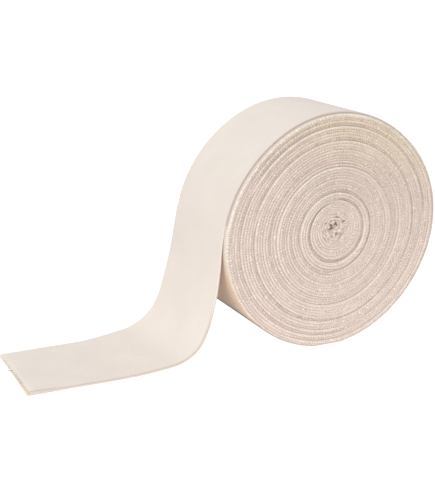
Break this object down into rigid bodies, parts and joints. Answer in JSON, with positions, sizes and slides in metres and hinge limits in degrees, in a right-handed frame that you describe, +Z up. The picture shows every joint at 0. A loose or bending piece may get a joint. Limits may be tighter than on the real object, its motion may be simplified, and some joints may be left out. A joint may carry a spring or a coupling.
{
  "type": "tubular bandage roll",
  "caption": "Flat-wound roll of knitted tubular elastic bandage standing on its rim, with a loose end let down on to the surface.",
  "frame": {"origin": "middle of the small flat spot under the roll, on the surface it stands on", "axes": "+Z up, the winding axis along Y with the near end face at -Y, the loose end running to -X"},
  "size_m": [0.2775, 0.0702, 0.1517],
  "materials": {
    "folded_knit": "matte",
    "flat_knit": "matte"
  },
  "bodies": {
    "root": {"roll": "folded_knit", "loose_end": "flat_knit"}
  },
  "joints": []
}
